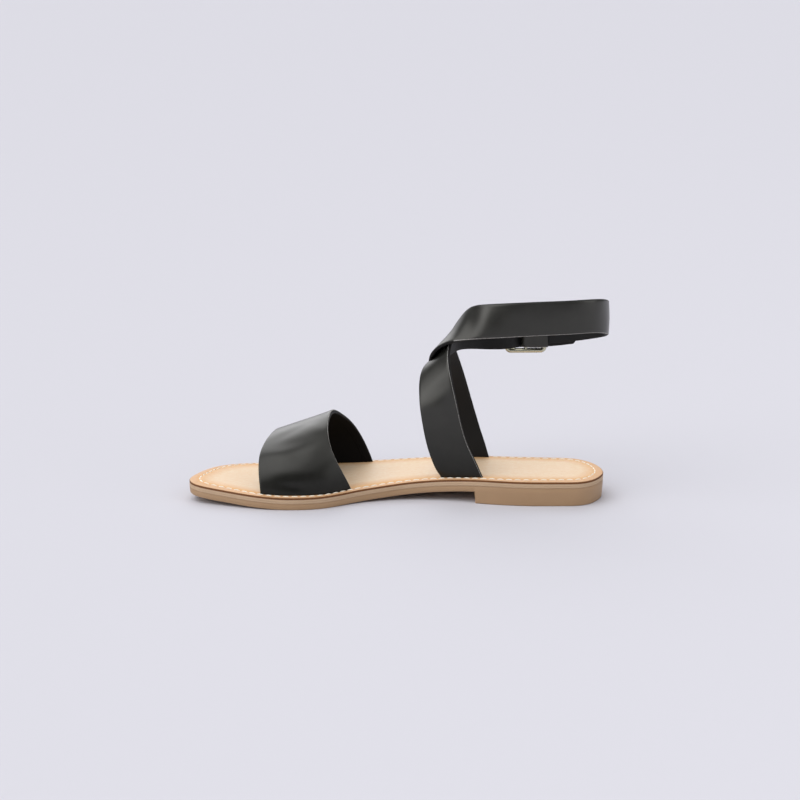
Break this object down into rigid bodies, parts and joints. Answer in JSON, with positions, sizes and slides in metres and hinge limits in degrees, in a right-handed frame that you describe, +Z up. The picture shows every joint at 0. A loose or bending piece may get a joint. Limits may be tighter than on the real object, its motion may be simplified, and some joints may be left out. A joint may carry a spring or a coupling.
{
  "type": "leather sandal",
  "caption": "Flat leather sandal for the right foot, with a wide toe band, straps crossed over the instep, a buckled ankle strap, a tan insole and a low heel.",
  "frame": {"origin": "middle of the bounding box, on the floor plane the sole stands on", "axes": "+X from toe to heel, +Y to the outer side of the foot (the buckle's side), +Z up"},
  "size_m": [0.2541, 0.09, 0.124],
  "materials": {
    "outsole": "matt tan-brown moulded wall",
    "midsole": "matt beige strip",
    "insole": "smooth natural tan with a burnished edge",
    "black_leather": "smooth black with a soft satin gloss",
    "buckle": "polished pale gold"
  },
  "bodies": {
    "root": {"outsole": "outsole", "midsole": "midsole", "insole": "insole", "toe_band": "black_leather", "ankle_straps": "black_leather", "buckle_frame": "buckle", "buckle_prong": "buckle"}
  },
  "joints": []
}
